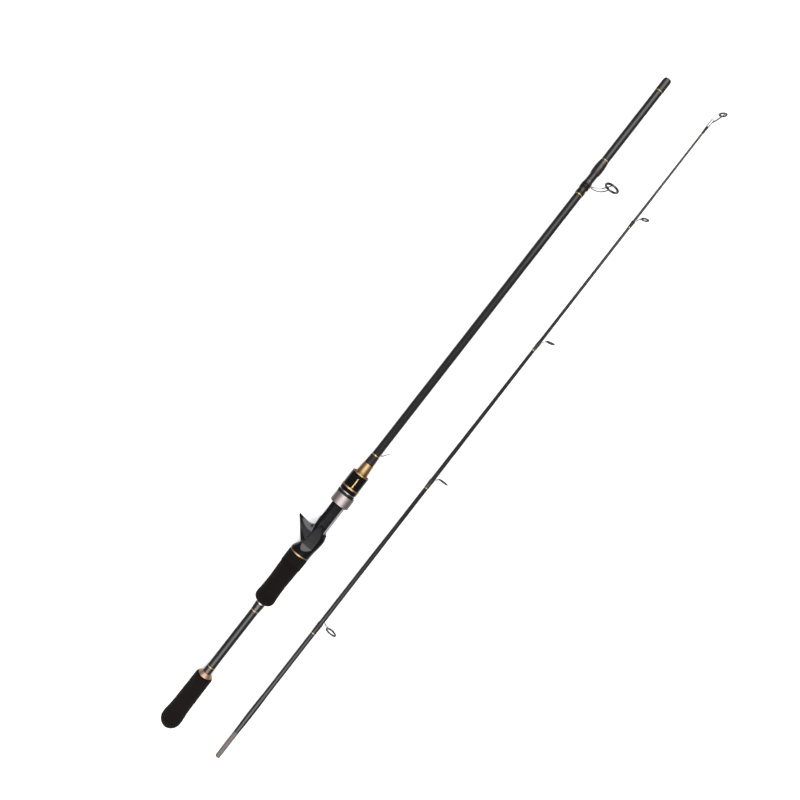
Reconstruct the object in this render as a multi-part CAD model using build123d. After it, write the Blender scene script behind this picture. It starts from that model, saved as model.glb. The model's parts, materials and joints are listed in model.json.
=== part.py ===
"""Two-piece baitcasting rod, taken apart: the butt section and the tip section lie side by side.

Both sections point along +X. The trigger points to +Y and every guide points to -Y.
Each section is modelled about its own axis, then laid on the ground beside the other one.
"""

import os
from math import cos, radians, sin

from build123d import *

os.makedirs("parts", exist_ok=True)

# ---- driving dimensions, mm ----
# Stations run along the rod: from the butt end on the butt section, from the spigot end on the tip section.
BUTT_LENGTH = 929.5
TIP_TUBE_END = 923.0
SECTION_SPACING = 68.8
SPIGOT_END_X = 5.7
HANDLE_R = 12.6
GUIDE_1_R = 7.4

# The blanks' outer radius at each station. They taper evenly between stations.
BUTT_TAPER = [(0, 4.95), (395, 4.85), (BUTT_LENGTH, 4.65)]
SPIGOT_R = 3.0
SPIGOT_LENGTH = 36.0
TIP_TAPER = [
    (0, SPIGOT_R),
    (SPIGOT_LENGTH, SPIGOT_R),
    (46, 3.10),
    (120, 2.98),
    (290, 2.75),
    (330, 2.52),
    (440, 2.40),
    (560, 2.00),
    (780, 1.55),
    (830, 1.36),
    (TIP_TUBE_END, 1.18),
]
BUTT_WALL = 1.3
TIP_WALL = 0.75
SOCKET_CLEARANCE = 0.07
SOCKET_R = SPIGOT_R + SOCKET_CLEARANCE
SOCKET_DEPTH = 40.0

# Handle
BLANK_START = 12.0
BUTT_GRIP_END = 73.8
BUTT_GRIP_R = 10.6
COLLAR_R = 8.8
COLLAR_LENGTH = 3.8
BUTT_WRAP_END = 85.2
REAR_WRAP_START = 167.0
REAR_GRIP_START = 178.0
REAR_GRIP_END = 248.3
CHECK_WIDTH = 1.6
SEAT_RING_WIDTH = 1.5

# Reel seat
SEAT_START = REAR_GRIP_END + SEAT_RING_WIDTH
SEAT_END = 360.0
FACET_SLOPE_START = 254.5
FACET_START = 261.5
FACET_HEIGHT = 7.85
FACET_TILT = 9
SHOULDER_START = 280.0
SHOULDER_END = 296.8
BARREL_START = 286.0
BARREL_END = 322.0
THREAD_R = 8.3
THREAD_DEPTH = 0.6
THREAD_PITCH = 1.5
POCKET_START = 262.0
POCKET_FLOOR = 8.4
CHANNEL_HALF_WIDTH = 4.8
HOOD_OFFSET = 1.05
HOOD_R = 11.8
HOOD_START = 320.6
HOOD_END = 333.1
LINER_R = 10.5
LINER_WALL_START = 331.0
LINER_END = 336.2
RUNNING_GAP = 0.3
SPACER_END = 337.4
NUT_START = SPACER_END + RUNNING_GAP
NUT_FLANGE_END = 342.0
NUT_BARREL_START = 344.0
NUT_BARREL_END = 361.4
NUT_END = 362.8
NUT_R = 10.75
NUT_BORE = THREAD_R + RUNNING_GAP
KEYWAY_HALF_WIDTH = 1.6
CHECK_END = 376.7
ARBOR_REAR_END = 261.0
ARBOR_REAR_R = 7.0
ARBOR_FRONT_START = 330.0
ARBOR_FRONT_R = 6.2
INLAY_COUNT = 4
INLAY_LENGTH = 12.5
INLAY_WIDTH = 1.4
INLAY_DEPTH = 0.5
NUT_GROOVE_R = 10.1

# Hook keeper
FORE_WRAP_END = 389.0
KEEPER_X = 393.0
KEEPER_HEIGHT = 6.6
KEEPER_ANGLE = 36.0
KEEPER_LENGTH = 9.3
KEEPER_WIRE_R = 0.42
KEEPER_HALF_WIDTH = 3.0
KEEPER_EAR = (1.7, 2.3)
KEEPER_HOLE_R = 0.5

# Guides on the tip section: ring station, distance off the axis, ring radius, bore radius, forward lean in
# degrees, wrap start, wrap end, station where the wire legs leave the blank
TIP_GUIDES = [
    (192.0, 15.3, GUIDE_1_R, 4.9, 0, 179.7, 193.4, 195.6),
    (406.5, 11.3, 6.35, 4.1, 2, 389.7, 400.9, 402.2),
    (607.4, 10.2, 5.45, 3.55, 13, 589.5, 599.6, 600.8),
    (785.3, 9.1, 4.7, 2.9, 18, 767.4, 776.3, 777.5),
]
BAND_WIDTH = 1.1
NARROW_BAND_WIDTH = 0.9
FRAME_WALL = 0.7
FRAME_WIDTH = 1.2
INSERT_WIDTH = 1.8
LEG_R = 0.42

# Guide on the butt section. Each foot runs from its feathered toe to the end the legs leave.
BUTT_GUIDE_X = 793.8
BUTT_GUIDE_OFFSET = 25.4
BUTT_GUIDE_R = 9.15
BUTT_GUIDE_BORE = 6.4
REAR_FOOT = (766.5, 781.0)
FRONT_FOOT = (810.5, 792.6)
REAR_GUIDE_WRAP = (765.0, 783.5)
FRONT_GUIDE_WRAP = (794.0, 812.4)
FERRULE_BAND_START = 912.0
BUTT_GUIDE_WIDTH = 1.6
BUTT_INSERT_WIDTH = 2.4
BUTT_LEG_R = 0.65

# Tip-top
TOP_X = 935.2
TOP_OFFSET = 5.8
TOP_R = 4.7
TOP_BORE = 2.9
TOP_LEAN = 25
TOP_WRAP_START = 902.8
TOP_TUBE_START = 913.1
TOP_TUBE_R = 1.65
TOP_WIRE_R = 0.6
TOP_BRACE_R = 0.45

# Heights of the two axes: the rear grip and the first guide's ring touch the ground.
BUTT_AXIS_Z = HANDLE_R
TIP_AXIS_Z = GUIDE_1_R


def radius_at(taper, x):
    """Outer radius of a tapered blank at station x."""
    for (x0, r0), (x1, r1) in zip(taper, taper[1:]):
        if x <= x1:
            return r0 + (r1 - r0) * (x - x0) / (x1 - x0)
    return taper[-1][1]


def turned(points):
    """Solid turned about the X axis from a closed outline of (x, radius) points."""
    return revolve(make_face(Polyline(*points, close=True)), Axis.X)


def ring(start, end, inner, outer):
    """Plain ring about the X axis."""
    return turned([(start, inner), (end, inner), (end, outer), (start, outer)])


def blank_core(taper, start, end):
    """The blank's outer shape between two stations, solid to the axis."""
    middle = [(x, r) for x, r in taper if start < x < end]
    points = [(start, 0), (start, radius_at(taper, start))] + middle
    return turned(points + [(end, radius_at(taper, end)), (end, 0)])


def wrap(taper, start, end, build_start, build_end):
    """Thread winding under epoxy, thickening from one end to the other, with a short lip at each."""
    lip = 0.7
    edge = 0.15
    r0 = radius_at(taper, start)
    r1 = radius_at(taper, end)
    outline = [
        (start, 0),
        (start, r0 + edge),
        (start + lip, r0 + build_start),
        (end - lip, r1 + build_end),
        (end, r1 + edge),
        (end, 0),
    ]
    return turned(outline) - blank_core(taper, start - 1, end + 1)


def swelling_wrap(taper, start, end, peak, build, edges):
    """Winding over a guide's foot: thickest at station peak, with the given thickness at each end."""
    swell = Spline(
        (start, radius_at(taper, start) + edges[0]),
        (peak, radius_at(taper, peak) + build),
        (end, radius_at(taper, end) + edges[1]),
    )
    rest = Polyline(swell @ 1, (end, 0), (start, 0), swell @ 0)
    return revolve(make_face(swell + rest), Axis.X) - blank_core(taper, start - 1, end + 1)


def band(taper, start, width=BAND_WIDTH, build=0.3):
    """Metallic thread trim band beside a wrap."""
    r0 = radius_at(taper, start) + build
    outline = [(start, 0), (start, r0), (start + width, r0), (start + width, 0)]
    return turned(outline) - blank_core(taper, start - 1, start + width + 1)


# ---- handle ----
def butt_blank():
    """Hollow tapered tube. Its front end is bored out straight to take the tip section's spigot."""
    start = BLANK_START
    taper_end = BUTT_LENGTH - SOCKET_DEPTH
    hollow_r = radius_at(BUTT_TAPER, start) - BUTT_WALL
    step = 10
    lead_in = 0.4
    hollow = turned(
        [
            (start - 1, 0),
            (start - 1, hollow_r),
            (taper_end - step, hollow_r - 0.2),
            (taper_end, SOCKET_R),
            (BUTT_LENGTH - lead_in, SOCKET_R),
            (BUTT_LENGTH, SOCKET_R + lead_in),
            (BUTT_LENGTH, 0),
        ]
    )
    return blank_core(BUTT_TAPER, start, BUTT_LENGTH) - hollow


def butt_grip():
    """Foam grip with a bulbed end. It closes over the end of the blank."""
    bulb = Spline(
        (0, 0),
        (1.6, 5.0),
        (4.8, 9.2),
        (9.0, 11.8),
        (13.5, 12.35),
        (23, 11.4),
        (36, 10.85),
        (55, 10.65),
        (70.4, BUTT_GRIP_R),
        tangents=[(0, 1), (1, 0)],
    )
    shoulder = TangentArc((70.4, BUTT_GRIP_R), (BUTT_GRIP_END, 9.1), tangent=(1, 0))
    rest = Polyline((BUTT_GRIP_END, 9.1), (BUTT_GRIP_END, 0), (0, 0))
    grip = revolve(make_face(bulb + shoulder + rest), Axis.X)
    return grip - blank_core(BUTT_TAPER, BLANK_START, BUTT_GRIP_END + 1)


def butt_grip_collar():
    """Conical metal collar in front of the butt grip."""
    r = radius_at(BUTT_TAPER, BUTT_GRIP_END)
    lip = 0.7
    outline = [
        (BUTT_GRIP_END, r),
        (BUTT_GRIP_END, COLLAR_R),
        (BUTT_GRIP_END + lip, COLLAR_R),
        (BUTT_GRIP_END + COLLAR_LENGTH, r + 0.6),
        (BUTT_GRIP_END + COLLAR_LENGTH, r),
    ]
    return turned(outline)


def rear_grip():
    """Foam grip behind the seat, waisted, with a rounded rear shoulder."""
    top = Spline(
        (REAR_GRIP_START, 5.9),
        (REAR_GRIP_START + 1.3, 8.5),
        (REAR_GRIP_START + 3.2, 10.9),
        (REAR_GRIP_START + 6.6, 12.25),
        (REAR_GRIP_START + 11, 12.05),
        (196, 11.5),
        (209, 11.2),
        (222.7, 11.7),
        (236, 12.3),
        (REAR_GRIP_END, HANDLE_R),
        tangents=[(1, 2), (1, 0)],
    )
    rest = Polyline(top @ 1, (REAR_GRIP_END, 0), (REAR_GRIP_START, 0), top @ 0)
    grip = revolve(make_face(top + rest), Axis.X)
    return grip - blank_core(BUTT_TAPER, REAR_GRIP_START - 1, REAR_GRIP_END + 1)


def rear_grip_check():
    """Small metal winding check behind the rear grip."""
    start = REAR_GRIP_START - CHECK_WIDTH
    r = radius_at(BUTT_TAPER, start)
    end = REAR_GRIP_START
    return turned([(start, r), (start, 5.5), (start + 0.4, 5.8), (end, 5.8), (end, r)])


# ---- reel seat ----
def seat_section(x, trigger_side, guide_side, half_height):
    """Elliptic cross-section of the seat body, given how far it reaches to +Y and to -Y."""
    centre = (trigger_side - guide_side) / 2
    plane = Plane(origin=(x, centre, 0), x_dir=(0, 1, 0), z_dir=(1, 0, 0))
    return plane * Ellipse((trigger_side + guide_side) / 2, half_height)


def seat_shell():
    """Rear body of the seat: round at the grip, then swelling on the guide side into the fixed hood."""
    return loft(
        [
            seat_section(SEAT_START, HANDLE_R, HANDLE_R, HANDLE_R),
            seat_section(251.8, 12.3, 12.6, 12.5),
            seat_section(254.5, 11.1, 12.7, 12.2),
            seat_section(257.5, 9.3, 12.9, 11.7),
            seat_section(261.5, 7.7, 13.4, 11.1),
            seat_section(268, 6.9, 14.2, 10.5),
            seat_section(275, 6.6, 14.6, 10.2),
            seat_section(281, 6.5, 13.8, 9.6),
            seat_section(287, 6.4, 12.0, 8.5),
            seat_section(293, 6.2, 10.0, 7.2),
            seat_section(298, 5.8, 8.6, 6.0),
        ]
    )


def flank_cuts():
    """What is planed off both flanks: a steep slope behind the trigger, then a long flat facet beside it."""
    reach = 16
    outline = [
        (FACET_SLOPE_START, reach),
        (FACET_SLOPE_START, HANDLE_R),
        (FACET_START, FACET_HEIGHT),
        (BARREL_END, FACET_HEIGHT),
        (BARREL_END, reach),
    ]
    face = make_face(Plane.XZ * Polyline(*outline, close=True))
    cut = Rot(-FACET_TILT, 0, 0) * extrude(face, reach, both=True)
    return cut + mirror(cut, about=Plane.XY)


def seat_shoulder():
    """Low collar on the trigger side, between the trigger and the barrel."""
    return loft([seat_section(SHOULDER_START, 6.4, 7.5, 7.2), seat_section(SHOULDER_END, 7.5, 7.9, 7.2)])


def seat_barrel():
    """Faceted barrel between the hoods, with the flat deck for the reel foot on the guide side."""
    upper = [(6.6, 3.0), (2.6, 7.3), (-3.5, 7.7), (-7.4, 6.9), (-9.6, 5.6)]
    lower = [(y, -z) for y, z in reversed(upper)]
    plane = Plane(origin=(BARREL_START, 0, 0), x_dir=(0, 1, 0), z_dir=(1, 0, 0))
    return extrude(plane * make_face(Polyline(*upper, *lower, close=True)), BARREL_END - BARREL_START)


def seat_thread():
    """Threaded tube under the hood and nut, with its thread as even ring grooves."""
    start = BARREL_END - 1
    points = [(start, THREAD_R)]
    x = BARREL_END + 2
    while x + THREAD_PITCH < SEAT_END:
        points.append((x, THREAD_R))
        points.append((x + THREAD_PITCH * 0.4, THREAD_R - THREAD_DEPTH))
        points.append((x + THREAD_PITCH * 0.6, THREAD_R - THREAD_DEPTH))
        x += THREAD_PITCH
    points += [(SEAT_END, THREAD_R), (SEAT_END, 0), (start, 0)]
    groove = Box(SEAT_END - BARREL_END, 2.0, 2 * KEYWAY_HALF_WIDTH)
    keyway = Pos((BARREL_END + SEAT_END) / 2 + 1, THREAD_R, 0) * groove
    return turned(points) - keyway


def trigger_section(y, rear, front, half_width):
    """Faceted cross-section of the trigger at height y: sharp at the rear, bevelled at the front."""
    length = front - rear
    side = [
        (rear, 0.2 * half_width),
        (rear + 0.32 * length, half_width),
        (front - 0.3 * length, half_width),
        (front, 0.45 * half_width),
    ]
    mirrored = [(x, -z) for x, z in reversed(side)]
    plane = Plane(origin=(0, y, 0), x_dir=(1, 0, 0), z_dir=(0, -1, 0))
    return plane * make_face(Polyline(*side, *mirrored, close=True))


def trigger():
    """Finger trigger: a swept-back fin with a straight rear edge and a hollow front edge."""
    return loft(
        [
            trigger_section(2.0, 253.6, 287.5, 6.5),
            trigger_section(6.6, 259.2, 285.4, 6.5),
            trigger_section(9.4, 262.4, 283.8, 6.3),
            trigger_section(13.2, 266.8, 282.8, 5.8),
            trigger_section(18.2, 272.6, 283.5, 5.0),
            trigger_section(23.0, 278.2, 284.5, 3.7),
            trigger_section(27.5, 283.4, 285.2, 2.0),
        ],
        ruled=True,
    )


def reel_foot_pocket():
    """Space under the fixed hood and along the deck that the reel foot slides into."""
    length = BARREL_END + 1 - POCKET_START
    middle = POCKET_START + length / 2
    inside = Plane(origin=(POCKET_START, -4.0, 0), x_dir=(0, 1, 0), z_dir=(1, 0, 0)) * Ellipse(9.2, 8.6)
    dome = extrude(inside, length)
    floor_depth = 10
    channel = Box(length, floor_depth, 2 * CHANNEL_HALF_WIDTH)
    wide = Box(BARREL_START + 2 - POCKET_START, floor_depth, 2 * CHANNEL_HALF_WIDTH + 2.4)
    narrow_cut = Pos(middle, -POCKET_FLOOR - floor_depth / 2, 0) * channel
    above_rails = Pos((POCKET_START + BARREL_START + 2) / 2, -9.6 - floor_depth / 2, 0) * wide
    return dome & (narrow_cut + above_rails)


def hood_mouth():
    """Three slanted wedges, turned about the axis, that cut the fixed hood's front back to an arch."""
    points = [(270, -16.3), (290.5, -9.5), (300, -9.5), (300, -16.3)]
    wedge = extrude(make_face(Polyline(*points, close=True)), 14, both=True)
    tilt = 30
    return wedge + Rot(tilt, 0, 0) * wedge + Rot(-tilt, 0, 0) * wedge


def reel_seat():
    """One bored moulding: rear body with fixed hood, trigger, faceted barrel and threaded tube."""
    rear = seat_shell() + seat_shoulder() - flank_cuts() - hood_mouth()
    body = rear + seat_barrel() + seat_thread() + trigger()
    bore = blank_core(BUTT_TAPER, SEAT_START - 1, SEAT_END + 1)
    rear_bush = ring(SEAT_START - 1, ARBOR_REAR_END, 0, ARBOR_REAR_R)
    front_bush = ring(ARBOR_FRONT_START, SEAT_END + 1, 0, ARBOR_FRONT_R)
    return body - reel_foot_pocket() - bore - rear_bush - front_bush


def arbor(start, end, outer):
    """Bush that fills the gap between the blank and the seat."""
    return ring(start, end, radius_at(BUTT_TAPER, start), outer)


def seat_ring():
    """Thin metal ring between the rear grip and the seat."""
    return ring(REAR_GRIP_END, SEAT_START, radius_at(BUTT_TAPER, REAR_GRIP_END), HANDLE_R)


def front_check():
    """Tapered metal tube that closes the front of the seat."""
    r = radius_at(BUTT_TAPER, SEAT_END)
    lip = 1.2
    outline = [
        (SEAT_END, r),
        (SEAT_END, 7.3),
        (363, 7.1),
        (CHECK_END - lip, 6.1),
        (CHECK_END - lip, 6.3),
        (CHECK_END, 6.3),
        (CHECK_END, r),
    ]
    return turned(outline)


# ---- sliding hood ----
def offset_ring(start, end, inner, outer):
    """Ring whose centre lies off the rod's axis towards the guides."""
    return Pos(0, -HOOD_OFFSET, 0) * ring(start, end, inner, outer)


def hood_shell():
    """Brushed metal sleeve over the sliding hood."""
    wall = 0.8
    outline = [
        (HOOD_START, HOOD_R - wall),
        (HOOD_START, HOOD_R - 0.2),
        (HOOD_START + 0.3, HOOD_R),
        (HOOD_END, HOOD_R - 0.25),
        (HOOD_END, HOOD_R - wall),
    ]
    return Pos(0, -HOOD_OFFSET, 0) * turned(outline)


def hood_liner():
    """Plastic sleeve inside the hood. Its front wall rides on the thread, with a key in the keyway."""
    lip = 0.7
    sleeve = offset_ring(HOOD_START - lip, HOOD_END, LINER_R, HOOD_R - 0.8)
    collar = ring(HOOD_END, LINER_END, NUT_BORE, 10.8)
    wall = offset_ring(LINER_WALL_START, HOOD_END, 0, LINER_R) - ring(LINER_WALL_START, HOOD_END, 0, NUT_BORE)
    key_height = 0.9
    key_box = Box(LINER_END - LINER_WALL_START, key_height + 0.4, 2 * (KEYWAY_HALF_WIDTH - RUNNING_GAP))
    key_y = NUT_BORE - key_height / 2 + 0.2
    key = Pos((LINER_WALL_START + LINER_END) / 2, key_y, 0) * key_box
    foot_notch = Pos(HOOD_START + 4, -HOOD_OFFSET - LINER_R, 0) * Box(12, 3, 9)
    return sleeve + collar + wall + key - foot_notch


def hood_spacer():
    """Thin bright washer between the hood and the nut."""
    return ring(LINER_END, SPACER_END, NUT_BORE, 10.3)


# ---- lock nut ----
def inlay_boxes():
    """The strips' places: even turns about the axis, starting behind the front ring."""
    start = NUT_BARREL_START + 0.8
    strip = Pos(start + INLAY_LENGTH / 2, 0, NUT_R - INLAY_DEPTH + 0.3) * Box(INLAY_LENGTH, INLAY_WIDTH, 1.0)
    tilt = 6
    return [Rot(tilt + 360 / INLAY_COUNT * i, 0, 0) * strip for i in range(INLAY_COUNT)]


def nut_barrel():
    """Glossy nut with two seats for its metal rings, slots for the strips and a recessed front face."""
    edge = 0.5
    outline = [
        (NUT_START, NUT_BORE),
        (NUT_START, 10.6),
        (NUT_START + edge, 11.0),
        (NUT_FLANGE_END, 11.0),
        (NUT_FLANGE_END, NUT_GROOVE_R),
        (NUT_BARREL_START, NUT_GROOVE_R),
        (NUT_BARREL_START, NUT_R),
        (NUT_BARREL_END, NUT_R),
        (NUT_BARREL_END, NUT_GROOVE_R),
        (NUT_END, NUT_GROOVE_R),
        (NUT_END, 9.6),
        (NUT_END - 5, 9.2),
        (NUT_END - 5, NUT_BORE),
    ]
    nut = turned(outline)
    for box in inlay_boxes():
        nut -= box
    return nut


def nut_inlays():
    """Metal strips set just below the nut's surface."""
    skin = ring(NUT_BARREL_START, NUT_BARREL_END, NUT_R - 1, NUT_R - 0.05)
    return Compound([(skin & box).solids()[0] for box in inlay_boxes()])


def nut_rear_ring():
    """Metal ring between the nut's flange and its barrel."""
    return turned(
        [
            (NUT_FLANGE_END, NUT_GROOVE_R),
            (NUT_FLANGE_END, 10.9),
            (NUT_FLANGE_END + 0.5, 11.2),
            (NUT_BARREL_START - 0.5, 11.2),
            (NUT_BARREL_START, 10.9),
            (NUT_BARREL_START, NUT_GROOVE_R),
        ]
    )


def nut_front_ring():
    """Metal ring around the nut's front edge."""
    return turned(
        [
            (NUT_BARREL_END, NUT_GROOVE_R),
            (NUT_BARREL_END, NUT_R + 0.1),
            (NUT_END - 0.5, NUT_R + 0.1),
            (NUT_END, 10.4),
            (NUT_END, NUT_GROOVE_R),
        ]
    )


# ---- hook keeper ----
def keeper_foot():
    """Small bracket on the blank: a curved foot under the wrap and two drilled ears."""
    r = radius_at(BUTT_TAPER, KEEPER_X)
    thickness = 0.5
    ear_length = 1.5
    ear_r = 0.85
    foot_start = KEEPER_X - 2.2
    foot_end = KEEPER_X + 2.4
    saddle = ring(foot_start, foot_end, 0, r + thickness)
    saddle &= Pos(KEEPER_X, -r, 0) * Box(12, 4, 2 * KEEPER_EAR[1])
    bracket = saddle
    for side in (-1, 1):
        z = side * sum(KEEPER_EAR) / 2
        width = KEEPER_EAR[1] - KEEPER_EAR[0]
        ear = Pos(KEEPER_X, -(r + KEEPER_HEIGHT) / 2, z) * Box(ear_length, KEEPER_HEIGHT - r + 1.2, width)
        tip = Pos(KEEPER_X, -KEEPER_HEIGHT, z) * Cylinder(ear_r, width)
        bracket += ear + tip
    bracket -= Pos(KEEPER_X, -KEEPER_HEIGHT, 0) * Cylinder(KEEPER_HOLE_R, 10)
    return bracket - blank_core(BUTT_TAPER, foot_start - 2, foot_end + 2)


def keeper_loop():
    """Wire loop whose turned-in ends pivot in the bracket's ears."""
    stub = KEEPER_EAR[0] - 0.4
    wide = KEEPER_HALF_WIDTH
    route = [(0, stub), (0, wide), (KEEPER_LENGTH, wide), (KEEPER_LENGTH, -wide), (0, -wide), (0, -stub)]
    along = (cos(radians(KEEPER_ANGLE)), -sin(radians(KEEPER_ANGLE)), 0)
    across = (-along[1], along[0], 0)
    plane = Plane(origin=(KEEPER_X, -KEEPER_HEIGHT, 0), x_dir=along, z_dir=across)
    path = plane * FilletPolyline(*route, radius=[0.55, 2.4, 2.4, 0.55])
    section = Plane(origin=path @ 0, z_dir=path % 0) * Circle(KEEPER_WIRE_R)
    return sweep(section, path=path)


# ---- guides ----
def ring_plane(x, offset, lean):
    """Plane at a guide ring's centre. Its X points away from the blank and its Z along the line's way."""
    angle = radians(lean)
    outward = (sin(angle), -cos(angle), 0)
    forward = (cos(angle), sin(angle), 0)
    return Plane(origin=(x, -offset, 0), x_dir=outward, z_dir=forward)


def ring_point(x, offset, lean, r, around, side):
    """Point on a guide ring, `around` degrees from the blank's side, on the +Z or -Z flank."""
    angle = radians(around)
    tilt = radians(lean)
    inward = r * cos(angle)
    return (x - inward * sin(tilt), -offset + inward * cos(tilt), side * r * sin(angle))


def wire(points, r):
    """Round wire along a straight line or an arc through three points."""
    path = Line(*points) if len(points) == 2 else ThreePointArc(*points)
    return sweep(Plane(origin=path @ 0, z_dir=path % 0) * Circle(r), path=path)


def guide_ring(x, offset, lean, r, width):
    """Metal band of a guide, around its insert."""
    return ring_plane(x, offset, lean) * (Cylinder(r, width) - Cylinder(r - FRAME_WALL, width + 1))


def insert_space(x, offset, lean, r):
    """What the insert and the line need inside the band: no leg reaches into it."""
    return ring_plane(x, offset, lean) * Cylinder(r - FRAME_WALL, 6)


def guide_insert(x, offset, lean, outer, bore, width):
    """Hard ring with a rounded section, pressed into the frame."""
    radial = outer - bore
    middle = (outer + bore) / 2
    section = Plane.XZ * Pos(middle, 0) * RectangleRounded(radial, width, min(radial, width) * 0.42)
    return ring_plane(x, offset, lean) * revolve(section, Axis.Z)


def guide_foot(taper, start, end, half_width, thickness):
    """Curved metal foot on the blank's guide side, feathered at its far end."""
    r0 = radius_at(taper, start)
    r1 = radius_at(taper, end)
    feather = 0.15
    toe = 0.6 if end > start else -0.6
    outline = [
        (start, 0),
        (start, r0 + feather),
        (end - toe, r1 + thickness),
        (end, r1 + thickness / 2),
        (end, 0),
    ]
    sector = Pos((start + end) / 2, -r1, 0) * Box(abs(end - start) + 2, 2 * r1 * 0.9, 2 * half_width)
    low, high = sorted((start, end))
    return (turned(outline) & sector) - blank_core(taper, low - 1, high + 1)


def single_foot_frame(guide):
    """Frame of a single-foot guide: foot, two wire legs and the ring's band."""
    x, offset, r, _, lean, wrap_start, _, leg_start = guide
    blank_r = radius_at(TIP_TAPER, leg_start)
    thickness = 0.45
    frame = guide_foot(TIP_TAPER, wrap_start + 1, leg_start + 0.6, 0.9, thickness)
    frame += guide_ring(x, offset, lean, r, FRAME_WIDTH)
    for side in (-1, 1):
        foot_point = (leg_start, -blank_r - 0.25, side * 0.45)
        flank = ring_point(x, offset, lean, r - FRAME_WALL / 2, 42, side)
        middle = (
            (foot_point[0] + flank[0]) / 2 + 0.5,
            (foot_point[1] + flank[1]) / 2 + 0.2,
            side * (0.45 + abs(flank[2])) / 2,
        )
        frame += wire([foot_point, middle, flank], LEG_R)
    return frame - blank_core(TIP_TAPER, wrap_start - 1, leg_start + 5) - insert_space(x, offset, lean, r)


def butt_guide_frame():
    """Double-foot frame: one short front leg and two long rear legs that splay to the ring's flanks."""
    r_rear = radius_at(BUTT_TAPER, REAR_FOOT[1])
    r_front = radius_at(BUTT_TAPER, FRONT_FOOT[1])
    frame = guide_ring(BUTT_GUIDE_X, BUTT_GUIDE_OFFSET, 0, BUTT_GUIDE_R, BUTT_GUIDE_WIDTH)
    frame += guide_foot(BUTT_TAPER, *REAR_FOOT, 1.6, 0.7)
    frame += guide_foot(BUTT_TAPER, *FRONT_FOOT, 1.2, 0.7)
    near_edge = ring_point(BUTT_GUIDE_X, BUTT_GUIDE_OFFSET, 0, BUTT_GUIDE_R - FRAME_WALL / 2, 0, 1)
    front_root = (FRONT_FOOT[1] + 1.0, -r_front - 0.3, 0)
    frame += wire([front_root, near_edge], BUTT_LEG_R)
    leg_end_x = BUTT_GUIDE_X - BUTT_GUIDE_WIDTH / 4
    for side in (-1, 1):
        root = (REAR_FOOT[1] - 1.0, -r_rear - 0.4, side * 0.7)
        flank = ring_point(leg_end_x, BUTT_GUIDE_OFFSET, 0, BUTT_GUIDE_R - FRAME_WALL / 2, 80, side)
        middle = (REAR_FOOT[1] + 3.6, -16.6, side * 6.0)
        frame += wire([root, middle, flank], BUTT_LEG_R)
    frame -= insert_space(BUTT_GUIDE_X, BUTT_GUIDE_OFFSET, 0, BUTT_GUIDE_R)
    return frame - blank_core(BUTT_TAPER, REAR_FOOT[0] - 1, FRONT_FOOT[0] + 1)


def tip_top_frame():
    """Tube over the end of the blank, with a main wire and two braces to the leaning ring."""
    blank_r = radius_at(TIP_TAPER, TIP_TUBE_END)
    cap = TIP_TUBE_END + 1.2
    rounding = 0.6
    tube = turned(
        [
            (TOP_TUBE_START, 0),
            (TOP_TUBE_START, TOP_TUBE_R),
            (cap - rounding, TOP_TUBE_R),
            (cap, TOP_TUBE_R - rounding),
            (cap, 0),
        ]
    )
    frame = tube + guide_ring(TOP_X, TOP_OFFSET, TOP_LEAN, TOP_R, FRAME_WIDTH)
    near = ring_point(TOP_X, TOP_OFFSET, TOP_LEAN, TOP_R - FRAME_WALL / 2, 0, 1)
    frame += wire([(TIP_TUBE_END, 0, 0), (TOP_X - 6, -0.2, 0), near], TOP_WIRE_R)
    for side in (-1, 1):
        root = (TOP_TUBE_START + 7, -TOP_TUBE_R + 0.3, side * 0.9)
        flank = ring_point(TOP_X, TOP_OFFSET, TOP_LEAN, TOP_R - FRAME_WALL / 2, 105, side)
        middle = ((root[0] + flank[0]) / 2, (root[1] + flank[1]) / 2 - 0.3, side * 3.2)
        frame += wire([root, middle, flank], TOP_BRACE_R)
    frame -= insert_space(TOP_X, TOP_OFFSET, TOP_LEAN, TOP_R)
    return frame - blank_core(TIP_TAPER, TOP_TUBE_START - 1, TIP_TUBE_END)


# ---- tip section ----
def tip_blank():
    """Slim hollow blank. Its rear end is ground to a straight spigot."""
    chamfer = 0.4
    outer = blank_core(TIP_TAPER, 0, TIP_TUBE_END)
    nose = turned([(0, SPIGOT_R - chamfer), (0, SPIGOT_R + 1), (chamfer, SPIGOT_R + 1), (chamfer, SPIGOT_R)])
    hollow_end = 560
    hollow_end_r = radius_at(TIP_TAPER, hollow_end) - TIP_WALL
    hollow = turned([(-1, 0), (-1, SPIGOT_R - TIP_WALL), (hollow_end, hollow_end_r), (hollow_end, 0)])
    return outer - nose - hollow


def tip_ferrule_wrap():
    """Long low winding that strengthens the blank just above the spigot."""
    start = 42.0
    end = 88.0
    middle = (start + end) / 2
    build = 0.38
    thin = 0.06
    hump = ThreePointArc(
        (start, radius_at(TIP_TAPER, start) + thin),
        (middle, radius_at(TIP_TAPER, middle) + build),
        (end, radius_at(TIP_TAPER, end) + thin),
    )
    rest = Polyline(hump @ 1, (end, 0), (start, 0), hump @ 0)
    return revolve(make_face(hump + rest), Axis.X) - blank_core(TIP_TAPER, start - 1, end + 1)


def ferrule_wrap():
    """Winding that strengthens the mouth of the socket."""
    bare_rim = 0.8
    return wrap(BUTT_TAPER, FERRULE_BAND_START + BAND_WIDTH, BUTT_LENGTH - bare_rim, 0.3, 0.4)


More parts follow.
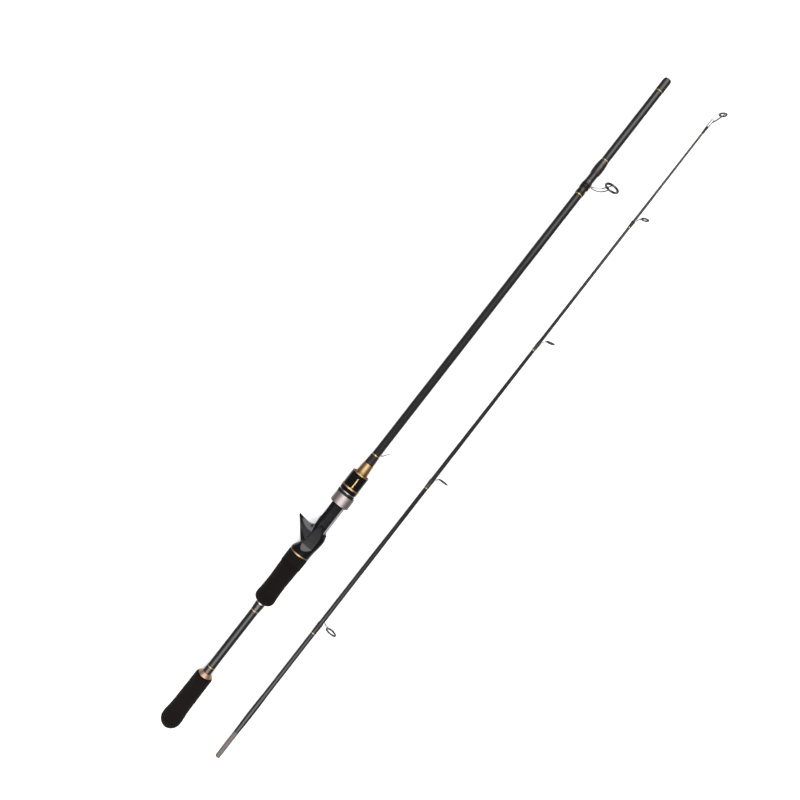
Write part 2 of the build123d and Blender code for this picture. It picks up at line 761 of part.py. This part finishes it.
# ---- all sub-parts ----
def butt_section():
    """Sub-parts fixed to the butt section, by node name."""
    parts = {
        "butt_blank": butt_blank(),
        "butt_grip": butt_grip(),
        "butt_grip_collar": butt_grip_collar(),
        "butt_wrap": wrap(BUTT_TAPER, BUTT_GRIP_END + COLLAR_LENGTH, BUTT_WRAP_END, 0.25, 0.25),
        "butt_band": band(BUTT_TAPER, BUTT_WRAP_END),
        "rear_grip_band": band(BUTT_TAPER, REAR_WRAP_START - BAND_WIDTH),
        "rear_grip_wrap": wrap(BUTT_TAPER, REAR_WRAP_START, REAR_GRIP_START - CHECK_WIDTH, 0.3, 0.95),
        "rear_grip_check": rear_grip_check(),
        "rear_grip": rear_grip(),
        "seat_ring": seat_ring(),
        "reel_seat": reel_seat(),
        "seat_arbor_rear": arbor(SEAT_START, ARBOR_REAR_END, ARBOR_REAR_R),
        "seat_arbor_front": arbor(ARBOR_FRONT_START, SEAT_END, ARBOR_FRONT_R),
        "front_check": front_check(),
        "fore_wrap": wrap(BUTT_TAPER, CHECK_END, FORE_WRAP_END, 1.0, 0.5),
        "fore_band": band(BUTT_TAPER, FORE_WRAP_END, build=0.45),
        "keeper_foot": keeper_foot(),
        "butt_guide_frame": butt_guide_frame(),
        "butt_guide_insert": guide_insert(
            BUTT_GUIDE_X, BUTT_GUIDE_OFFSET, 0, BUTT_GUIDE_R - FRAME_WALL, BUTT_GUIDE_BORE, BUTT_INSERT_WIDTH
        ),
        "butt_guide_rear_band": band(BUTT_TAPER, REAR_GUIDE_WRAP[0] - BAND_WIDTH),
        "butt_guide_front_band": band(BUTT_TAPER, FRONT_GUIDE_WRAP[1], width=NARROW_BAND_WIDTH),
        "ferrule_band": band(BUTT_TAPER, FERRULE_BAND_START),
        "ferrule_wrap": ferrule_wrap(),
    }
    frame = parts["butt_guide_frame"]
    rear = swelling_wrap(BUTT_TAPER, *REAR_GUIDE_WRAP, peak=772.0, build=1.15, edges=(0.45, 0.3))
    front = swelling_wrap(BUTT_TAPER, *FRONT_GUIDE_WRAP, peak=799.5, build=1.2, edges=(0.7, 0.2))
    parts["butt_guide_rear_wrap"] = rear - frame
    parts["butt_guide_front_wrap"] = front - frame
    return parts


def tip_section():
    """Sub-parts of the tip section, by node name."""
    parts = {"tip_blank": tip_blank(), "tip_ferrule_wrap": tip_ferrule_wrap()}
    for number, guide in enumerate(TIP_GUIDES, start=1):
        x, offset, r, bore, lean, wrap_start, wrap_end, _ = guide
        name = f"guide_{number}"
        frame = single_foot_frame(guide)
        parts[f"{name}_frame"] = frame
        parts[f"{name}_insert"] = guide_insert(x, offset, lean, r - FRAME_WALL, bore, INSERT_WIDTH)
        parts[f"{name}_wrap"] = wrap(TIP_TAPER, wrap_start, wrap_end, 0.3, 0.75) - frame
        parts[f"{name}_band"] = band(TIP_TAPER, wrap_start - BAND_WIDTH, build=0.25)
    parts["tip_top_frame"] = tip_top_frame()
    top_outer = TOP_R - FRAME_WALL
    parts["tip_top_insert"] = guide_insert(TOP_X, TOP_OFFSET, TOP_LEAN, top_outer, TOP_BORE, INSERT_WIDTH)
    parts["tip_top_wrap"] = wrap(TIP_TAPER, TOP_WRAP_START, TOP_TUBE_START, 0.3, 0.5)
    parts["tip_top_band"] = band(TIP_TAPER, TOP_WRAP_START - BAND_WIDTH, build=0.25)
    return parts


fixed_to_butt = butt_section()
fixed_to_butt.update(
    {
        "hood_shell": hood_shell(),
        "hood_liner": hood_liner(),
        "hood_spacer": hood_spacer(),
        "nut_barrel": nut_barrel(),
        "nut_rear_ring": nut_rear_ring(),
        "nut_front_ring": nut_front_ring(),
        "nut_inlays": nut_inlays(),
        "keeper_loop": keeper_loop(),
    }
)
laid = {name: Pos(0, 0, BUTT_AXIS_Z) * part for name, part in fixed_to_butt.items()}
tip_place = Pos(SPIGOT_END_X, -SECTION_SPACING, TIP_AXIS_Z)
laid.update({name: tip_place * part for name, part in tip_section().items()})

# The origin is the middle of the whole model's underside.
box = Compound([solid for part in laid.values() for solid in part.solids()]).bounding_box()
ORIGIN = Vector(box.center().X, box.center().Y, box.min.Z)
for name, part in laid.items():
    export_step(Pos(-ORIGIN.X, -ORIGIN.Y, -ORIGIN.Z) * part, f"parts/{name}.step")
print(f"{len(laid)} sub-parts, origin at bench point {ORIGIN.X:.3f}, {ORIGIN.Y:.3f}, {ORIGIN.Z:.3f}")
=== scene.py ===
"""Looks of the take-apart baitcasting rod: foam grips, thread windings, coats, metals and the studio."""

import json
import math

import bpy
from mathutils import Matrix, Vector, noise


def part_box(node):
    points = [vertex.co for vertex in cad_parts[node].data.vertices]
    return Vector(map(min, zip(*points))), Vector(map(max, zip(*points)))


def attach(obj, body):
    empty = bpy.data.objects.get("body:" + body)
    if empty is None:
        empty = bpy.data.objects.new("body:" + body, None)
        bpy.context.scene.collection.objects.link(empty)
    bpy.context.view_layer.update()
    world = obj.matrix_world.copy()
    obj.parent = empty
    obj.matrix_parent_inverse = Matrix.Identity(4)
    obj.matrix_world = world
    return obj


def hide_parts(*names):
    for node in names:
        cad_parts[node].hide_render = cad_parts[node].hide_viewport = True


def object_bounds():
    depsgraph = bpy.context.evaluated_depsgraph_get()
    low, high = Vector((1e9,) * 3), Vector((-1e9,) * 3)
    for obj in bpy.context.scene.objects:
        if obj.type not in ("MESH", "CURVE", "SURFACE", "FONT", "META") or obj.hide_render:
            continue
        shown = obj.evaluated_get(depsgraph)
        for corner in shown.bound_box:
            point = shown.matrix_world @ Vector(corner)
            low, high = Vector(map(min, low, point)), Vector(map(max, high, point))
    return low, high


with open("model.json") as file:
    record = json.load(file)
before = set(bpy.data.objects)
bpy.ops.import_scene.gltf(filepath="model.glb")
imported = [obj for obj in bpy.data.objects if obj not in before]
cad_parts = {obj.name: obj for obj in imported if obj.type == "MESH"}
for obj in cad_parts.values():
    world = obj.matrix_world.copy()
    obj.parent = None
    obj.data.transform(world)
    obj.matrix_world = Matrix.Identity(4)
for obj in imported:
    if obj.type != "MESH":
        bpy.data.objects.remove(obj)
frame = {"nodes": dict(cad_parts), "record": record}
CAD_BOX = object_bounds()
NODES = frame["nodes"]
RECORD_SLOTS = {part["node"]: part["material_slot"] for part in frame["record"]["subparts"]}
BODY_OF = {name: body for body, names in frame["record"]["behaviour"]["bodies"].items() for name in names}
MM = 0.001

# ---- where the CAD nodes are ----


def centre_line(blank):
    """(y, z) of the axis of a blank, which is parallel to X."""
    low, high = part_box(blank)
    return (low.y + high.y) / 2, (low.z + high.z) / 2


BUTT_AXIS = centre_line("butt_blank")
TIP_AXIS = centre_line("tip_blank")


def axis_of(node):
    """The centre line that a node is turned about."""
    return TIP_AXIS if node.startswith(("tip_", "guide_")) else BUTT_AXIS


def blank_of(node):
    """The blank that a node sits on."""
    return "tip_blank" if axis_of(node) == TIP_AXIS else "butt_blank"


def outline(node):
    """(x, largest radius) of a turned node at each station where its mesh has vertices."""
    y0, z0 = axis_of(node)
    step = 0.02 * MM
    widest = {}
    for vertex in NODES[node].data.vertices:
        key = round(vertex.co.x / step)
        radius = math.hypot(vertex.co.y - y0, vertex.co.z - z0)
        widest[key] = max(widest.get(key, 0.0), radius)
    return [(key * step, widest[key]) for key in sorted(widest)]


def radius_at(stations, x):
    """Radius at x, evenly between the two stations around it."""
    for (x0, r0), (x1, r1) in zip(stations, stations[1:]):
        if x0 <= x <= x1:
            return r0 + (r1 - r0) * (x - x0) / max(x1 - x0, 1e-9)
    return stations[0][1] if x < stations[0][0] else stations[-1][1]


BLANK_OUTLINES = {name: outline(name) for name in ("butt_blank", "tip_blank")}

# ---- turned pieces ----


def turned(name, profile, axis, sides, shape=None):
    """Closed mesh turned about a line parallel to X.

    profile is a loop of (x, radius) points. Points at radius 0 become one vertex.
    shape(point) gives a vertex's new place.
    """
    y0, z0 = axis
    vertices = []
    rings = []
    for x, radius in profile:
        if radius == 0:
            rings.append([len(vertices)] * sides)
            vertices.append(Vector((x, y0, z0)))
            continue
        rings.append(range(len(vertices), len(vertices) + sides))
        for k in range(sides):
            turn = 2 * math.pi * k / sides
            vertices.append(Vector((x, y0 + radius * math.cos(turn), z0 + radius * math.sin(turn))))
    if shape:
        vertices = [shape(point) for point in vertices]
    faces = []
    for ring, following in zip(rings, rings[1:] + rings[:1]):
        for k in range(sides):
            after = (k + 1) % sides
            corners = [ring[k], following[k], following[after], ring[after]]
            corners = list(dict.fromkeys(corners))
            if len(corners) > 2:
                faces.append(corners)
    mesh = bpy.data.meshes.new(name)
    mesh.from_pydata(vertices, [], faces)
    mesh.validate()
    mesh.shade_smooth()
    piece = bpy.data.objects.new(name, mesh)
    bpy.context.scene.collection.objects.link(piece)
    return piece


def along(stations, step):
    """The outline at even distances along its length, both ends included."""
    lengths = [0.0]
    for (x0, r0), (x1, r1) in zip(stations, stations[1:]):
        lengths.append(lengths[-1] + math.hypot(x1 - x0, r1 - r0))
    count = max(2, round(lengths[-1] / step))
    points = []
    segment = 0
    for i in range(count + 1):
        wanted = lengths[-1] * i / count
        while segment < len(lengths) - 2 and lengths[segment + 1] < wanted:
            segment += 1
        share = (wanted - lengths[segment]) / max(lengths[segment + 1] - lengths[segment], 1e-9)
        (x0, r0), (x1, r1) = stations[segment], stations[segment + 1]
        points.append((x0 + (x1 - x0) * share, r0 + (r1 - r0) * share))
    return points


# ---- foam grips ----
FOAM_STEP = 0.34 * MM
PORE_SCALE = 2300
PORE_DEPTH = 0.07 * MM
PORE_THRESHOLD = 0.18
PORE_STEEPNESS = 3
SKIN_SETBACK = 0.2
SWELL_SCALE = 90
SWELL = 0.05 * MM


def foam_skin(axis):
    """Moves grip vertices in or out: a slow unevenness, and small open pores."""
    y0, z0 = axis

    def shape(point):
        outward = Vector((0, point.y - y0, point.z - z0))
        if outward.length < 1e-6:
            return point
        pore = max(0.0, noise.noise(point * PORE_SCALE) - PORE_THRESHOLD)
        height = SWELL * noise.noise(point * SWELL_SCALE) - PORE_DEPTH * min(1.0, pore * PORE_STEEPNESS)
        return point + outward.normalized() * (height - PORE_DEPTH * SKIN_SETBACK)

    return shape


def foam_grip(node):
    """Grip with an open-pored skin, in place of its plain CAD solid."""
    stations = outline(node)
    inner = BLANK_OUTLINES["butt_blank"]
    skin = along(stations, FOAM_STEP)
    start, end = stations[0], stations[-1]
    widest = max(radius for _, radius in stations)
    sides = round(2 * math.pi * widest / FOAM_STEP)
    bore_end = (end[0], radius_at(inner, end[0]))
    closes_over_blank = start[1] < 1 * MM
    if closes_over_blank:
        blank_start = inner[0][0]
        bore = [bore_end, (blank_start, radius_at(inner, blank_start)), (blank_start, 0)]
        profile = [(start[0], 0)] + skin[1:] + bore
    else:
        profile = skin + [bore_end, (start[0], radius_at(inner, start[0]))]
    piece = turned(node + "_foam", profile, BUTT_AXIS, sides, foam_skin(BUTT_AXIS))
    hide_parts(node)
    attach(piece, "butt_section")
    return piece


# ---- thread windings ----
THREAD = 0.25 * MM
THREAD_RIDGE = 0.02 * MM
METALLIC_THREAD = 0.35 * MM
METALLIC_RIDGE = 0.06 * MM
WINDING_SIDES = 72


def winding(node, slot_name, thread, ridge):
    """Thread winding under its epoxy, turn by turn, in place of the plain CAD ring."""
    stations = outline(node)
    inner = BLANK_OUTLINES[blank_of(node)]
    start, end = stations[0][0], stations[-1][0]
    turns = round((end - start) / thread)
    heights = (0.0, 0.75, 1.0, 0.75)
    profile = []
    for i in range(turns * len(heights) + 1):
        x = start + (end - start) * i / (turns * len(heights))
        profile.append((x, radius_at(stations, x) + ridge * (heights[i % len(heights)] - 1)))
    profile += [(end, radius_at(inner, end)), (start, radius_at(inner, start))]
    piece = turned(node + "_thread", profile, axis_of(node), WINDING_SIDES)
    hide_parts(node)
    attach(piece, BODY_OF[node])
    return piece


# ---- materials ----


# Wave texture scale that gives one band per metre.
WAVE_SCALE = math.pi / 10


class Finish:
    """One material: a Principled shader, and the nodes that vary it over the surface."""

    def __init__(self, name, **sockets):
        self.material = bpy.data.materials.new(name)
        self.material.use_nodes = True
        self.tree = self.material.node_tree
        self.shader = self.tree.nodes["Principled BSDF"]
        self.place = self.tree.nodes.new("ShaderNodeTexCoord").outputs["Object"]
        for socket, value in sockets.items():
            self.shader.inputs[socket.replace("_", " ")].default_value = value

    def node(self, kind, inputs=None, **settings):
        """New node. An input is a number, a colour or another node's output."""
        made = self.tree.nodes.new("ShaderNode" + kind)
        for key, value in settings.items():
            setattr(made, key, value)
        for key, value in (inputs or {}).items():
            if isinstance(value, bpy.types.NodeSocket):
                self.tree.links.new(value, made.inputs[key])
            else:
                made.inputs[key].default_value = value
        return made

    def stretched(self, scale, detail=3.0, distortion=0.0):
        """Noise from 0 to 1 with its own number of features per metre along X, Y and Z."""
        spread = self.node("Mapping", {"Vector": self.place, "Scale": scale})
        inputs = {"Vector": spread.outputs[0], "Scale": 1.0, "Detail": detail, "Distortion": distortion}
        return self.node("TexNoise", inputs).outputs["Fac"]

    def cells(self, per_metre):
        """Distance to the nearest of many scattered points, from 0 at a point."""
        return self.node("TexVoronoi", {"Vector": self.place, "Scale": per_metre}).outputs["Distance"]

    def lines(self, per_metre, distortion=0.0):
        """Even bands across X, per_metre of them in a metre, from 0 to 1."""
        inputs = {"Vector": self.place, "Scale": per_metre * WAVE_SCALE, "Distortion": distortion}
        return self.node("TexWave", inputs, bands_direction="X").outputs["Fac"]

    def remap(self, value, low, high, start=0.0, end=1.0):
        """value from start to end becomes low to high, and stops there."""
        inputs = {"Value": value, "From Min": start, "From Max": end, "To Min": low, "To Max": high}
        return self.node("MapRange", inputs).outputs["Result"]

    def mixed(self, share, first, second):
        """Colour between two colours."""
        blend = self.node("Mix", {"Factor": share}, data_type="RGBA")
        for key, value in ((6, first), (7, second)):
            if isinstance(value, bpy.types.NodeSocket):
                self.tree.links.new(value, blend.inputs[key])
            else:
                blend.inputs[key].default_value = (*value, 1)
        return blend.outputs[2]

    def bumped(self, height, depth, strength=1.0, onto=None):
        """Surface normal from a height from 0 to 1, depth metres high."""
        inputs = {"Height": height, "Distance": depth, "Strength": strength}
        if onto:
            inputs["Normal"] = onto
        return self.node("Bump", inputs).outputs["Normal"]

    def wire(self, socket, value):
        """Joins an output to one of the shader's inputs."""
        self.tree.links.new(value, self.shader.inputs[socket])


def carbon(name, dark, light, rough=0.36, coat=0.45):
    """Coated carbon: fibres along the blank, and faint lines of the wrapping tape around it."""
    finish = Finish(name, Coat_Weight=coat, Coat_Roughness=0.16, IOR=1.5)
    fibres = finish.stretched((14, 1500, 1500), detail=4)
    cloudy = finish.stretched((30, 60, 60), detail=2)
    finish.wire("Base Color", finish.mixed(finish.remap(fibres, 0, 1, 0.3, 0.7), dark, light))
    finish.wire("Roughness", finish.remap(cloudy, rough - 0.05, rough + 0.06))
    tape = finish.bumped(finish.lines(260, 0.4), 0.006 * MM, 0.35)
    finish.wire("Normal", finish.bumped(fibres, 0.004 * MM, 0.3, tape))
    return finish


def tip_carbon():
    """The tip's carbon, with the spigot ground matt up to where the socket's mouth comes."""
    finish = carbon("tip_carbon", (0.0095, 0.0084, 0.0095), (0.021, 0.0186, 0.0208))
    spigot_length = 36 * MM
    raggedness = 2.5 * MM
    fade = 2 * MM
    matt_roughness = 0.75
    low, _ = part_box("tip_blank")
    edge = low.x + spigot_length
    x = finish.node("SeparateXYZ", {"Vector": finish.place}).outputs["X"]
    ragged = finish.stretched((400, 400, 400), detail=4)
    wobble = finish.node("Math", {0: ragged, 1: raggedness, 2: x}, operation="MULTIPLY_ADD").outputs[0]
    ground = finish.remap(wobble, 1, 0, edge, edge + fade)
    colour = finish.shader.inputs["Base Color"].links[0].from_socket
    rough = finish.shader.inputs["Roughness"].links[0].from_socket
    scratches = finish.stretched((3000, 260, 260), detail=5)
    matt = finish.mixed(scratches, (0.085, 0.068, 0.066), (0.155, 0.128, 0.125))
    finish.wire("Base Color", finish.mixed(ground, colour, matt))
    inputs = {"Factor": ground, 2: rough, 3: matt_roughness}
    finish.wire("Roughness", finish.node("Mix", inputs, data_type="FLOAT").outputs[0])
    return finish


def foam():
    """Closed-cell grip foam: matt, nearly black, finely pored."""
    finish = Finish("eva_foam", Specular_IOR_Level=0.1, Sheen_Weight=0.02, Sheen_Roughness=0.6)
    worn = finish.stretched((70, 70, 70), detail=5)
    pores = finish.cells(2600)
    fine = finish.stretched((5200, 5200, 5200), detail=3)
    finish.wire("Base Color", finish.mixed(worn, (0.0040, 0.0027, 0.0022), (0.0078, 0.0056, 0.0047)))
    finish.wire("Roughness", finish.remap(worn, 0.86, 0.97))
    coarse = finish.bumped(pores, 0.10 * MM, 0.8)
    finish.wire("Normal", finish.bumped(fine, 0.05 * MM, 0.6, coarse))
    return finish


def thread_winding():
    """Dark thread seen through clear epoxy."""
    finish = Finish("wrap_thread", Coat_Weight=1.0, Coat_Roughness=0.15, Coat_IOR=1.65, Roughness=0.5)
    turns = finish.lines(1 / THREAD, 0.6)
    lay = finish.stretched((350, 90, 90), detail=3)
    thread = finish.mixed(turns, (0.008, 0.004, 0.004), (0.026, 0.014, 0.016))
    finish.wire("Base Color", finish.mixed(finish.remap(lay, 0, 0.4), thread, (0.013, 0.010, 0.012)))
    finish.wire("Normal", finish.bumped(turns, 0.02 * MM, 0.5))
    return finish


def metallic_thread():
    """Gold tinsel thread beside the windings."""
    finish = Finish("gold_thread", Metallic=0.85, Coat_Weight=0.9, Coat_Roughness=0.08)
    glitter = finish.cells(4200)
    finish.wire("Base Color", finish.mixed(glitter, (0.92, 0.76, 0.34), (0.52, 0.39, 0.12)))
    finish.wire("Roughness", finish.remap(glitter, 0.22, 0.5))
    finish.wire("Normal", finish.bumped(finish.lines(1 / METALLIC_THREAD), 0.04 * MM, 0.6))
    return finish


def turned_metal(name, colour, rough, brushed=0.6, groove=0.8, shade=0.85):
    """Metal brushed around the rod: fine rings, and highlights that spread along it."""
    finish = Finish(name, Metallic=1.0, Anisotropic=brushed, Anisotropic_Rotation=0.25)
    around = finish.node("Tangent", direction_type="RADIAL", axis="X").outputs[0]
    finish.wire("Tangent", around)
    rings = finish.stretched((5200, 9, 9), detail=4)
    stain = finish.stretched((160, 160, 160), detail=3)
    darker = tuple(c * shade for c in colour)
    finish.wire("Base Color", finish.mixed(rings, darker, colour))
    speckle = finish.remap(rings, -0.08, 0.08)
    base = finish.remap(stain, rough - 0.03, rough + 0.05)
    total = finish.node("Math", {0: base, 1: speckle}, operation="ADD", use_clamp=True).outputs[0]
    finish.wire("Roughness", total)
    finish.wire("Normal", finish.bumped(rings, 0.012 * MM, groove))
    return finish


def moulded(name, colour, rough, coat, grain=0.25):
    """Moulded or lacquered black plastic, with faint handling marks in its gloss."""
    finish = Finish(name, Coat_Weight=coat, Coat_Roughness=0.05)
    marks = finish.stretched((260, 900, 900), detail=5, distortion=0.6)
    flow = finish.stretched((45, 45, 45), detail=2)
    lighter = tuple(c * 1.5 for c in colour)
    finish.wire("Base Color", finish.mixed(flow, colour, lighter))
    finish.wire("Roughness", finish.remap(marks, rough - 0.04, rough + 0.08, 0.3, 0.75))
    finish.wire("Normal", finish.bumped(marks, 0.004 * MM, grain))
    return finish


def seat_plastic():
    """The seat's black, with a painted pale reflection in ribbed stripes along both edges of the reel
    foot's deck.
    """
    finish = moulded("seat_black", (0.0034, 0.0032, 0.0042), 0.20, 0.4)
    length = 34 * MM
    width = 2.1 * MM
    blur = 0.2 * MM
    rear_fade = 3 * MM
    deck_edge = 7.35 * MM
    stripe_pitch = 1.1 * MM
    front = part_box("hood_liner")[0].x
    edge = BUTT_AXIS[0] - deck_edge
    split = finish.node("SeparateXYZ", {"Vector": finish.place}).outputs
    # Painted reflection: a pale band masked along both edges of the deck, fading out towards the rear,
    # standing in for the gleam of light on the deck's edge facets.
    limits = [
        finish.remap(split["X"], 0, 1, front - length - rear_fade, front - length),
        finish.remap(split["Y"], 1, 0, edge - blur, edge),
        finish.remap(split["Y"], 0, 1, edge - width - blur, edge - width),
    ]
    painted_reflection_band = limits[0]
    for limit in limits[1:]:
        painted_reflection_band = finish.node("Math", {0: painted_reflection_band, 1: limit}, operation="MULTIPLY").outputs[0]
    # Painted reflection: the band's pale colour, in light and lighter stripes 1.1 mm apart.
    painted_reflection_stripes = finish.mixed(finish.lines(1 / stripe_pitch), (0.16, 0.15, 0.16), (0.42, 0.40, 0.41))
    black = finish.shader.inputs["Base Color"].links[0].from_socket
    finish.wire("Base Color", finish.mixed(painted_reflection_band, black, painted_reflection_stripes))
    return finish


def wire_steel(node):
    """Guide wire with light drawing lines, and a darker band around the ring's insert if it has one."""
    finish = Finish("steel_" + node, Metallic=1.0)
    drawn = finish.stretched((900, 900, 900), detail=4)
    steel = finish.mixed(drawn, (0.64, 0.60, 0.60), (0.90, 0.86, 0.86))
    if node.endswith("_frame"):
        _, ring_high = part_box(node.replace("_frame", "_insert"))
        gunmetal = finish.mixed(drawn, (0.075, 0.073, 0.078), (0.13, 0.126, 0.134))
        y = finish.node("SeparateXYZ", {"Vector": finish.place}).outputs["Y"]
        band = 0.7 * MM
        around_ring = finish.remap(y, 1, 0, ring_high.y + band / 2, ring_high.y + band)
        steel = finish.mixed(around_ring, steel, gunmetal)
    finish.wire("Base Color", steel)
    finish.wire("Roughness", finish.remap(drawn, 0.28, 0.46))
    finish.wire("Normal", finish.bumped(drawn, 0.004 * MM, 0.3))
    return finish


def ceramic():
    """Dense dark ring ceramic with a polished bore."""
    finish = Finish("ring_ceramic", Coat_Weight=0.6, Coat_Roughness=0.04, IOR=1.75)
    specks = finish.cells(6000)
    finish.wire("Base Color", finish.mixed(specks, (0.030, 0.030, 0.033), (0.012, 0.012, 0.013)))
    finish.wire("Roughness", finish.remap(specks, 0.10, 0.26))
    finish.wire("Normal", finish.bumped(specks, 0.002 * MM, 0.2))
    return finish


def bush_foam():
    """Hard cream bush between blank and seat."""
    finish = Finish("arbor_foam", Specular_IOR_Level=0.3)
    cells = finish.cells(1800)
    finish.wire("Base Color", finish.mixed(cells, (0.42, 0.37, 0.28), (0.60, 0.55, 0.44)))
    finish.wire("Roughness", finish.remap(cells, 0.75, 0.95))
    finish.wire("Normal", finish.bumped(cells, 0.08 * MM, 0.6))
    return finish


FINISHES = {
    "carbon_blank": carbon("carbon_blank", (0.0085, 0.0080, 0.0080), (0.020, 0.0188, 0.0192)),
    "tip_carbon": tip_carbon(),
    "eva_foam": foam(),
    "rose_gold": turned_metal("rose_gold", (1.0, 0.68, 0.47), 0.60, brushed=0.5, shade=0.92),
    "gold_metal": turned_metal("gold_metal", (1.0, 0.73, 0.40), 0.72, brushed=0.85, shade=0.97),
    "gold_thread": metallic_thread(),
    "wrap_thread": thread_winding(),
    "bright_check": turned_metal("bright_check", (0.94, 0.92, 0.90), 0.46, groove=0.3),
    "seat_black": seat_plastic(),
    "hood_metal": turned_metal("hood_metal", (0.80, 0.70, 0.69), 0.60, brushed=0.5),
    "inner_black": moulded("inner_black", (0.008, 0.008, 0.008), 0.42, 0.1),
    "nut_black": moulded("nut_black", (0.0018, 0.0016, 0.0022), 0.10, 1.0, grain=0.08),
    "arbor_foam": bush_foam(),
    "ring_ceramic": ceramic(),
}


def paint(piece, finish):
    """Gives a piece its finish."""
    piece.data.materials.clear()
    piece.data.materials.append(finish.material)


# ---- pieces and finishes on the frame ----

for node_name, slot_name in RECORD_SLOTS.items():
    if slot_name == "eva_foam":
        paint(foam_grip(node_name), FINISHES[slot_name])
    elif slot_name == "wrap_thread":
        paint(winding(node_name, slot_name, THREAD, THREAD_RIDGE), FINISHES[slot_name])
    elif slot_name == "gold_thread":
        paint(winding(node_name, slot_name, METALLIC_THREAD, METALLIC_RIDGE), FINISHES[slot_name])
    elif slot_name == "guide_steel":
        paint(NODES[node_name], wire_steel(node_name))
    else:
        paint(NODES[node_name], FINISHES[slot_name])

# ---- studio ----


def studio_floor():
    """Plain pale floor under the rod."""
    half = 1.7
    gap = 0.05 * MM
    ground = CAD_BOX[0].z - gap
    corners = [(-half, -half, ground), (half, -half, ground), (half, half, ground), (-half, half, ground)]
    mesh = bpy.data.meshes.new("floor")
    mesh.from_pydata(corners, [], [(0, 1, 2, 3)])
    floor = bpy.data.objects.new("floor", mesh)
    bpy.context.scene.collection.objects.link(floor)
    finish = Finish("floor_paint", Specular_IOR_Level=0.1, Roughness=0.9, Emission_Strength=0.35)
    finish.shader.inputs["Emission Color"].default_value = (1, 1, 1, 1)
    paper = finish.stretched((6, 6, 6), detail=2)
    finish.wire("Base Color", finish.mixed(paper, (0.93, 0.93, 0.93), (0.95, 0.95, 0.95)))
    mesh.materials.append(finish.material)
    floor.visible_glossy = False


def soft_light(name, location, width, height, radiance, reflected=True):
    """Rectangular softbox that faces the rod's middle, as bright as the given radiance."""
    lamp = bpy.data.lights.new(name, "AREA")
    lamp.shape = "RECTANGLE"
    lamp.size = width
    lamp.size_y = height
    lamp.energy = radiance * math.pi * width * height
    light = bpy.data.objects.new(name, lamp)
    light.location = location
    light.rotation_euler = (-Vector(location)).to_track_quat("-Z", "Y").to_euler()
    light.visible_glossy = reflected
    bpy.context.scene.collection.objects.link(light)


def studio_world():
    """Dim room with a bright table below, as the rod's gloss reflects it, and a pale backdrop."""
    dim = 0.08
    table = 0.7
    backdrop = 0.92
    world = bpy.data.worlds.new("studio")
    world.use_nodes = True
    bpy.context.scene.world = world
    tree = world.node_tree
    place = tree.nodes.new("ShaderNodeTexCoord")
    split = tree.nodes.new("ShaderNodeSeparateXYZ")
    below = tree.nodes.new("ShaderNodeMapRange")
    below.interpolation_type = "SMOOTHSTEP"
    for key, value in {"From Min": -0.65, "From Max": -0.42, "To Min": table, "To Max": dim}.items():
        below.inputs[key].default_value = value
    path = tree.nodes.new("ShaderNodeLightPath")
    seen = tree.nodes.new("ShaderNodeMix")
    seen.inputs["B"].default_value = backdrop
    tree.links.new(place.outputs["Generated"], split.inputs[0])
    tree.links.new(split.outputs["Z"], below.inputs["Value"])
    tree.links.new(path.outputs["Is Camera Ray"], seen.inputs["Factor"])
    tree.links.new(below.outputs["Result"], seen.inputs["A"])
    tree.links.new(seen.outputs[0], tree.nodes["Background"].inputs["Strength"])
    tree.nodes["Background"].inputs["Color"].default_value = (1, 1, 1, 1)


def photo_camera():
    """Camera straight above, turned so that the rod runs from lower left to upper right."""
    data = bpy.data.cameras.new("camera")
    data.sensor_width = 36
    data.lens = 30.0
    camera = bpy.data.objects.new("camera", data)
    camera.location = (-0.0157, 0.0488, 0.7706)
    camera.rotation_euler = (0, 0, math.radians(-52.1))
    bpy.context.scene.collection.objects.link(camera)
    bpy.context.scene.camera = camera


studio_floor()
studio_world()
soft_light("key", (0, 0, 1.5), 3.0, 3.0, 0.95, reflected=False)
soft_light("butt_end", (-1.25, 0, 1.15), 1.5, 1.6, 3.3)
soft_light("tip_end", (1.25, 0, 1.15), 1.5, 1.6, 2.7)
photo_camera()
bpy.context.scene.view_settings.view_transform = "Standard"
